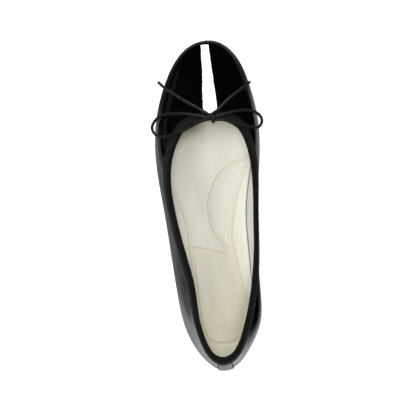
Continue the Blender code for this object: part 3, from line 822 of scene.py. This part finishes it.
# the same painted shade, fainter, along the medial side of the heel
from_heel = np.interp(plan[..., 1], [18, 22, 30, 38, 45, 52, 60, 67, 75, 85], [10.3, 11.3, 14.6, 17.3, 19.1, 20.2, 22.8, 24.0, 25.7, 27.0])
from_heel = np.clip(from_heel - plan[..., 0], 0, 60)
heel_band = (0.2 * np.exp(-(from_heel / 5.0) ** 2) + 0.07 * np.exp(-(from_heel / 16.0) ** 2)) \
    * np.interp(plan[..., 1], [10, 16, 23, 54, 62, 75, 88], [0.2, 0.4, 1.0, 1.0, 0.6, 0.45, 0.0])
# all of it together is painted shade that darkens the insole colour
painted_shade = (1.0 - (1.0 - 0.28 * np.clip(painted_shade, 0, 1)) * (1.0 - 0.4 * band) * (1.0 - heel_band)) / 0.6
# the painted shaded band is tinted warmer too
painted_warm_shade = painted_warm_shade + 0.6 * band
for name, field in (("painted_warm_shade", painted_warm_shade), ("painted_shade", painted_shade)):
    attr = insole.data.attributes.new(name, "FLOAT", "POINT")
    values = np.zeros(len(insole.data.vertices), dtype=np.float32)
    values[:field.size] = np.clip(field, 0, 1).reshape(-1)
    attr.data.foreach_set("value", values)
part(insole, "cream_leather", "insole")

# ------------------------------------------------------------------ outsole
AROUND = 360
ring_turns = np.arange(AROUND) * 360.0 / AROUND
rings = []
for out_by, lift in ((2.2, 0.0), (1.2, 0.0), (0.75, 0.12), (0.35, 0.4), (0.1, 0.8), (0.0, 1.25), (0.0, 2.6), (0.15, 3.1), (0.5, SOLE_THICK)):
    p = inset(ring_turns, -SOLE_PROUD + out_by)
    rings.append(lifted(p, sole_bottom(p[:, 1]) + lift))
faces = ring_faces(len(rings), AROUND) + lid_faces(0, AROUND) + lid_faces((len(rings) - 1) * AROUND, AROUND)
part(make("outsole_thin", np.concatenate(rings), faces, [SOLE]), "sole_rubber", "outsole")

# ------------------------------------------------------------------ heel
edge = inset(ring_turns, -SOLE_PROUD)
reach_turn = np.interp(HEEL_BREAST, edge[:AROUND // 2, 1], ring_turns[:AROUND // 2])
heel_turns = np.linspace(-1, 1, 121) * reach_turn
cross = np.linspace(0, 1, 31)[1:-1]


def heel_ring(amount, z):
    side = inset(heel_turns, amount)
    a, b = side[-1], side[0]
    front = a + (b - a) * cross[:, None]
    front[:, 1] -= BREAST_HOLLOW * 4 * cross * (1 - cross)
    p = np.concatenate([side, front])
    return lifted(p, np.full(len(p), z))


start = -SOLE_PROUD + HEEL_SET_IN + SOLE_ROUND * 0.4
Layer = namedtuple("Layer", "z groove")
LAYERS = [Layer(HEEL_LIFT - GAP, 0.35), Layer(9.3, 0.0), Layer(6.75, 0.0), Layer(6.55, 0.22), Layer(6.35, 0.0),
          Layer(3.25, 0.0), Layer(3.05, 0.25), Layer(2.85, 0.0), Layer(0.5, 0.05), Layer(0.15, 0.3), Layer(0.0, 0.8)]
rings = [heel_ring(start + HEEL_TAPER * (1 - l.z / HEEL_LIFT) + l.groove, l.z) for l in LAYERS]
n = len(rings[0])
faces = ring_faces(len(rings), n) + [tuple(range(n)), tuple(range(len(rings) * n - 1, (len(rings) - 1) * n - 1, -1))]
heel = make("heel_stack", np.concatenate(rings), faces, [LIFT])
part(heel, "heel_rubber", "heel")

# ------------------------------------------------------------------ bow
KNOT = (-1.2, 191.0, 42.0)
CORD_TOP = 41.2
DROOP = 0.0115
LOOP_LATERAL = [Mark(-4.9, 191.8), Mark(-11.4, 193.2), Mark(-19.6, 194.9), Mark(-28.0, 195.4),
                Mark(-36.2, 195.2), Mark(-42.4, 191.8), Mark(-45.8, 185.9), Mark(-43.2, 180.2),
                Mark(-36.2, 178.3), Mark(-24.3, 181.5), Mark(-12.0, 187.3), Mark(-4.8, 189.7)]
LOOP_MEDIAL = [Mark(2.5, 191.8), Mark(9.1, 193.2), Mark(17.5, 195.3), Mark(26.0, 195.8),
               Mark(33.0, 194.0), Mark(37.2, 189.8), Mark(37.2, 185.3), Mark(33.8, 182.3),
               Mark(27.0, 183.3), Mark(15.4, 186.9), Mark(8.2, 189.2), Mark(2.5, 189.4)]
END_LATERAL = [Mark(-3.4, 194.6), Mark(-12.8, 200.2), Mark(-20.8, 205.1), Mark(-27.2, 209.5),
               Mark(-34.3, 214.9), Mark(-39.4, 219.9)]
END_MEDIAL = [Mark(1.0, 194.6), Mark(4.8, 197.2), Mark(10.0, 201.9), Mark(16.8, 207.5), Mark(23.2, 212.2),
              Mark(29.7, 217.0)]
_turns = np.arange(90.0, 270.0, 0.75)
_skin = [wall(_turns, np.full(_turns.shape, t)) for t in np.linspace(0.9, 2.0, 75)]
for _down in np.linspace(0.0, BIND_OUT, 7):
    _t = below_top(_turns, _down)
    _skin.append(wall(_turns, _t) + wall_normal(_turns, _t) * (OUTER + 0.1))
SKIN = np.concatenate(_skin)


def rest_height(x, along):
    far = CORD_D / 2 + GAP
    d2 = (SKIN[:, 0] - x) ** 2 + (SKIN[:, 1] - along) ** 2
    near = d2 < far ** 2
    return (SKIN[near, 2] + np.sqrt(far ** 2 - d2[near])).max() if near.any() else 0.0


def laid(marks, step):
    """Cord axis: a smooth plan curve laid on the vamp."""
    fine = route(marks, 1.0)
    far = np.hypot(fine[:, 0] - KNOT[0], fine[:, 1] - KNOT[1])
    rest = np.array([rest_height(x, y) for x, y in fine])
    z = np.maximum(rest, CORD_TOP - DROOP * far ** 2)
    for _ in range(60):
        z[1:-1] = np.maximum(rest[1:-1], 0.5 * z[1:-1] + 0.25 * (z[:-2] + z[2:]))
    fine = lifted(fine, z)
    s = np.concatenate([[0], np.cumsum(np.linalg.norm(np.diff(fine, axis=0), axis=1))])
    even = np.linspace(0, s[-1], max(3, int(round(s[-1] / step)) + 1))
    return np.stack([np.interp(even, s, fine[:, k]) for k in range(3)], -1), s[-1]


def tube(name, pts, diameter, mat):
    data = bpy.data.curves.new(name, "CURVE")
    data.dimensions = "3D"
    data.bevel_depth = diameter / 2 * MM
    data.bevel_resolution = 6
    data.use_fill_caps = True
    line = data.splines.new("POLY")
    line.points.add(len(pts) - 1)
    for point, xyz in zip(line.points, place(pts)):
        point.co = (*xyz, 1.0)
    line.use_smooth = True
    data.materials.append(mat)
    ob = bpy.data.objects.new(name, data)
    looks.objects.link(ob)
    return ob


# knot: four passes of the cord drawn tight, one of them ending in a short tail over the throat
Pass = namedtuple("Pass", "x along z thick")
PASSES = [
    [Pass(1.2, 194.8, 41.3, 2.2), Pass(-0.4, 193.5, 42.1, 2.3), Pass(-1.8, 192.1, 42.5, 2.6), Pass(-2.6, 190.6, 42.4, 2.7),
     Pass(-2.7, 189.4, 41.6, 2.4)],
    [Pass(-3.2, 194.5, 41.0, 2.2), Pass(-1.4, 193.0, 41.3, 2.2), Pass(0.1, 192.0, 41.9, 2.4), Pass(0.9, 190.7, 42.3, 2.9),
     Pass(0.9, 189.4, 42.0, 3.1), Pass(0.8, 188.3, 41.4, 3.0), Pass(0.6, 187.6, 40.8, 2.8)],
    [Pass(-5.0, 191.8, 41.1, 2.2), Pass(-2.6, 191.4, 41.4, 2.2), Pass(0.4, 191.3, 41.4, 2.2), Pass(2.6, 191.8, 41.1, 2.2)],
    [Pass(-4.9, 189.7, 41.0, 2.2), Pass(-2.4, 190.1, 41.2, 2.2), Pass(0.4, 189.9, 41.2, 2.2), Pass(2.6, 189.4, 41.0, 2.2)],
]
verts, faces = [], []
RIM = 14
for bends in PASSES:
    p = np.array(bends, dtype=float)
    q = np.concatenate([[2 * p[0] - p[1]], p, [2 * p[-1] - p[-2]]])
    path = [p[0]]
    for i in range(len(p) - 1):
        a, b, c, d = q[i:i + 4]
        for t in np.linspace(0, 1, 11)[1:]:
            path.append(0.5 * (2 * b + (c - a) * t + (2 * a - 5 * b + 4 * c - d) * t * t + (3 * b - a - 3 * c + d) * t ** 3))
    path, thick = np.array(path)[:, :3], np.array(path)[:, 3]
    tangent = unit(np.gradient(path, axis=0))
    side = unit(np.cross(tangent, np.array([0.0, 0.0, 1.0])))
    third = np.cross(side, tangent)
    size = np.ones(len(path))
    size[0] = size[-1] = 0.45
    size[1] = size[-2] = 0.85
    base = len(verts)
    for p0, s0, t0, w in zip(path, side, third, size * thick / 2):
        for k in np.arange(RIM) * 2 * math.pi / RIM:
            verts.append(p0 + (s0 * math.cos(k) + t0 * math.sin(k)) * w)
    for i in range(len(path) - 1):
        for j in range(RIM):
            jj = (j + 1) % RIM
            faces.append((base + i * RIM + j, base + i * RIM + jj, base + (i + 1) * RIM + jj, base + (i + 1) * RIM + j))
    faces.append(tuple(base + j for j in reversed(range(RIM))))
    faces.append(tuple(base + (len(path) - 1) * RIM + j for j in range(RIM)))
knot = make("cord_knot", np.array(verts), faces, [CORD])
part(knot, "cord", "bow_knot")

for name, marks, node, far_end in (
        ("cord_loop_lateral", LOOP_LATERAL, "bow_loop_lateral", "object"),
        ("cord_loop_medial", LOOP_MEDIAL, "bow_loop_medial", "object"),
        ("cord_end_lateral", END_LATERAL, "bow_end_lateral", "bare"),
        ("cord_end_medial", END_MEDIAL, "bow_end_medial", "bare")):
    pts, length = laid(marks, 1.4)
    ob = tube(name, pts, CORD_D, CORD)
    part(ob, "cord", node)

# ------------------------------------------------------------------ stage
scene = bpy.context.scene
scene.view_settings.view_transform = "Standard"
scene.view_settings.look = "None"

floor_mesh = bpy.data.meshes.new("floor")
floor_mesh.from_pydata([(-6, -6, 0), (6, -6, 0), (6, 6, 0), (-6, 6, 0)], [], [(0, 1, 2, 3)])
floor = bpy.data.objects.new("floor", floor_mesh)
scene.collection.objects.link(floor)
floor.location.z = -0.0002
floor.visible_glossy = False
fm = Mat("floor_white").set(Roughness=0.9, Specular_IOR_Level=0.0, Base_Color=(0.7, 0.7, 0.7),
                            Emission_Color=(1.0, 1.0, 1.0), Emission_Strength=0.75)
floor_mesh.materials.append(fm.m)

# what the gloss sees of the floor: bright behind the heel, dim at the toe and on the medial side
Glow = namedtuple("Glow", "x along level")
GLOWS = [Glow(0, -60, 1.3), Glow(-60, -20, 2.9), Glow(60, -20, 3.6), Glow(-55, 30, 2.0), Glow(55, 30, 0.4),
         Glow(-65, 75, 0.95), Glow(65, 75, 0.05), Glow(-75, 130, 0.87), Glow(70, 130, 0.12), Glow(-75, 175, 1.4),
         Glow(70, 180, 1.0), Glow(-65, 225, 0.11), Glow(65, 225, 0.16), Glow(-30, 280, 0.42), Glow(30, 280, 0.55), Glow(0, 325, 0.9),
         Glow(-150, -40, 2.6), Glow(0, -200, 1.2), Glow(-150, 60, 0.8), Glow(-180, 130, 0.35), Glow(-104, 194, 0.5), Glow(-192, 208, 0.45), Glow(-320, 220, 0.35),
         Glow(-100, 222, 0.10), Glow(-185, 246, 0.12), Glow(-95, 262, 0.06), Glow(-180, 305, 0.06),
         Glow(150, 60, 0.02), Glow(150, 180, 0.02), Glow(0, 380, 0.4), Glow(300, -40, 0.3), Glow(-330, 60, 0.4)]
Near = namedtuple("Near", "along level")        # medial floor, lit only close to the sole
MEDIAL_NEAR = [Near(-30, 1.30), Near(0, 0.95), Near(20, 0.85), Near(40, 0.60), Near(52, 0.30), Near(70, 0.04), Near(110, 0.04),
               Near(135, 0.12), Near(150, 0.35), Near(164, 0.65), Near(182, 0.78), Near(200, 0.75), Near(214, 0.45),
               Near(228, 0.12), Near(240, 0.10)]
Reach = namedtuple("Reach", "along full end")
MEDIAL_REACH = [Reach(-40, 38, 120), Reach(0, 21, 72), Reach(30, 13, 50), Reach(60, 9, 35), Reach(130, 9, 33),
                Reach(146, 28, 48), Reach(165, 36, 52), Reach(200, 44, 68)]


def ease(v):
    v = np.clip(v, 0, 1)
    return v * v * (3 - 2 * v)


GLOW_CELLS, GLOW_SIZE = 120, 900.0
gx = np.linspace(-GLOW_SIZE / 2, GLOW_SIZE / 2, GLOW_CELLS + 1)
GX, GY = np.meshgrid(gx, gx + LENGTH / 2)
spots = np.array(GLOWS)
weight = ((GX[..., None] - spots[:, 0]) ** 2 + (GY[..., None] - spots[:, 1]) ** 2 + 12.0 ** 2) ** -2.0
level = (weight * spots[:, 2]).sum(-1) / weight.sum(-1)
edge_loop = outline(np.arange(0, 360, 2.0))
away = np.sqrt(((GX[..., None] - edge_loop[:, 0]) ** 2 + (GY[..., None] - edge_loop[:, 1]) ** 2).min(-1))
contact = np.interp(GY, [20, 60, 110, 170, 210], [0.08, 0.16, 0.28, 0.32, 0.45])
front = np.clip((GY - 130.0) / 60.0, 0, 1) * (1 - ease((-GX - 20.0) / 30.0) * (1 - ease((GY - 215.0) / 30.0)))
level = level * (contact + (1 - contact) * np.clip(away / 55.0, 0, 1))
level = level * (1 - front + front * np.exp(-np.maximum(away - 30.0, 0) / 90.0)) * (1 - ease((away - 250.0) / 100.0))
medial = np.interp(GY, [k.along for k in MEDIAL_NEAR], [k.level for k in MEDIAL_NEAR])
full, end = (np.interp(GY, [k.along for k in MEDIAL_REACH], [getattr(k, f) for k in MEDIAL_REACH]) for f in ("full", "end"))
medial = medial * (0.35 + 0.65 * ease(away / 16.0)) * (1 - ease((away - full) / (end - full)))
share = ease((GX - 12.0) / 20.0) * ease((GY + 25.0) / 35.0) * (1 - ease((GY - 222.0) / 20.0))
level = level * (1 - share) + medial * share
glow_mesh = bpy.data.meshes.new("floor_glow")
gn = GLOW_CELLS + 1
glow_mesh.from_pydata(place(np.stack([GX, GY, np.full(GX.shape, -0.2)], -1).reshape(-1, 3)).tolist(), [],
                      [(i * gn + j, i * gn + j + 1, (i + 1) * gn + j + 1, (i + 1) * gn + j)
                       for i in range(GLOW_CELLS) for j in range(GLOW_CELLS)])
glow_attr = glow_mesh.attributes.new("glow", "FLOAT", "POINT")
glow_attr.data.foreach_set("value", level.reshape(-1).astype(np.float32))
floor_glow = bpy.data.objects.new("floor_glow", glow_mesh)
scene.collection.objects.link(floor_glow)


def card_material(name, strength, attribute=None):
    m = bpy.data.materials.new(name)
    m.use_nodes = True
    t = m.node_tree
    t.nodes.clear()
    out = t.nodes.new("ShaderNodeOutputMaterial")
    em = t.nodes.new("ShaderNodeEmission")
    em.inputs["Strength"].default_value = strength
    t.links.new(em.outputs["Emission"], out.inputs["Surface"])
    if attribute:
        at = t.nodes.new("ShaderNodeAttribute")
        at.attribute_name = attribute
        t.links.new(at.outputs["Fac"], em.inputs["Color"])
    return m


glow_mesh.materials.append(card_material("glow", 1.0, "glow"))
# long soft box over the toe, wider overhead than in front
Station = namedtuple("Station", "y z left right")
STRIP = [Station(0.40, 1.12, -0.285, 0.255), Station(0.54, 1.00, -0.218, 0.124), Station(0.64, 0.92, -0.20, 0.08),
         Station(0.78, 0.80, -0.225, 0.052), Station(1.02, 0.60, -0.252, 0.036), Station(1.31, 0.35, -0.31, 0.036), Station(1.37, 0.28, -0.325, 0.034)]
STRIP_FOOT = (-0.345, 1.42, 0.16)        # its lateral front corner hangs lower
strip_mesh = bpy.data.meshes.new("strip_box")
count = len(STRIP)
strip_mesh.from_pydata([(x, k.y, k.z) for k in STRIP for x in (k.left, k.right)] + [STRIP_FOOT], [],
                       [(2 * i, 2 * i + 1, 2 * i + 3, 2 * i + 2) for i in range(count - 1)]
                       + [(2 * count - 2, 2 * count - 1, 2 * count)])
strip = bpy.data.objects.new("strip_box", strip_mesh)
scene.collection.objects.link(strip)
strip_mesh.materials.append(card_material("strip_light", 32.0))
for card in (floor_glow, strip):
    card.visible_camera = False
    card.visible_diffuse = False
    card.visible_shadow = False
    card.visible_transmission = False
# low dim panel far off to the lateral side
panel_mesh = bpy.data.meshes.new("side_panel")
panel_mesh.from_pydata([(-0.8, -0.15, 0.10), (-0.8, 0.55, 0.10), (-0.8, 0.55, 0.29), (-0.8, -0.15, 0.29)], [], [(0, 1, 2, 3)])
panel = bpy.data.objects.new("side_panel", panel_mesh)
scene.collection.objects.link(panel)
panel_mesh.materials.append(card_material("panel_light", 0.12))
panel.visible_camera = panel.visible_diffuse = panel.visible_shadow = False


def rear_card(name, turn_from, turn_to):
    """Tall soft card behind the heel, on an arc round the shoe, fading at its edges."""
    across, up = np.linspace(0, 1, 25), np.linspace(0, 1, 17)
    A, U = np.meshgrid(across, up)
    turn = np.radians(turn_from + (turn_to - turn_from) * A)
    pts = np.stack([1.2 * np.cos(turn), 1.2 * np.sin(turn), 0.12 + 1.0 * U], -1)
    mesh = bpy.data.meshes.new(name)
    mesh.from_pydata(pts.reshape(-1, 3).tolist(), [], [(i * 25 + j, i * 25 + j + 1, (i + 1) * 25 + j + 1, (i + 1) * 25 + j)
                                                       for i in range(16) for j in range(24)])
    fade = ease(A / 0.35) * ease((1 - A) / 0.35) * ease(U / 0.3) * ease((1 - U) / 0.6)
    mesh.attributes.new("glow", "FLOAT", "POINT").data.foreach_set("value", fade.reshape(-1).astype(np.float32))
    mesh.materials.append(card_material(name + "_light", 3.0, "glow"))
    ob = bpy.data.objects.new(name, mesh)
    scene.collection.objects.link(ob)
    ob.visible_camera = ob.visible_diffuse = ob.visible_shadow = ob.visible_transmission = False
    return ob


rear_cards = [rear_card("rear_card_medial", -8.0, -78.0), rear_card("rear_card_lateral", 188.0, 258.0)]

world = bpy.data.worlds.new("studio")
scene.world = world
world.use_nodes = True
wt = world.node_tree
bg = wt.nodes["Background"]
path = wt.nodes.new("ShaderNodeLightPath")
dim = wt.nodes.new("ShaderNodeMix")
dim.data_type = "RGBA"
dim.inputs["A"].default_value = (0.40, 0.40, 0.40, 1.0)
dim.inputs["B"].default_value = (0.004, 0.004, 0.004, 1.0)
wt.links.new(path.outputs["Is Glossy Ray"], dim.inputs["Factor"])
seen = wt.nodes.new("ShaderNodeMix")
seen.data_type = "RGBA"
seen.inputs["B"].default_value = (0.95, 0.95, 0.95, 1.0)
wt.links.new(path.outputs["Is Camera Ray"], seen.inputs["Factor"])
wt.links.new(dim.outputs["Result"], seen.inputs["A"])
wt.links.new(seen.outputs["Result"], bg.inputs["Color"])


def area(name, at, to, size_x, size_y, power, glossy=False):
    data = bpy.data.lights.new(name, "AREA")
    data.shape = "RECTANGLE"
    data.size, data.size_y = size_x, size_y
    data.energy = power
    ob = bpy.data.objects.new(name, data)
    scene.collection.objects.link(ob)
    ob.location = at
    ob.rotation_mode = "QUATERNION"
    ob.rotation_quaternion = (Vector(to) - Vector(at)).to_track_quat("-Z", "Y")
    ob.visible_camera = False
    ob.visible_glossy = glossy
    return ob


area("overhead", (0.0, -0.02, 1.8), (0.0, 0.0, 0.03), 0.8, 0.8, 13.9)
area("side", (-0.72, 0.3, 1.05), (0.0, 0.05, 0.03), 0.5, 0.5, 5.4)

# ------------------------------------------------------------------ camera
CAM_HIGH = 8.0
FRAME_MM = 416 * 250.0 / 330.0
TOE_LEAN = 2.6
cam_data = bpy.data.cameras.new("camera")
cam_data.sensor_width = 36.0
cam_data.lens = 36.0 * (CAM_HIGH - 0.02) / (FRAME_MM * MM)
cam_data.clip_start, cam_data.clip_end = 0.1, 50.0
cam = bpy.data.objects.new("camera", cam_data)
scene.collection.objects.link(cam)
cam.location = (-0.001685, -0.001947, CAM_HIGH)
cam.rotation_euler = (0.0, 0.0, math.radians(-TOE_LEAN))
scene.camera = cam
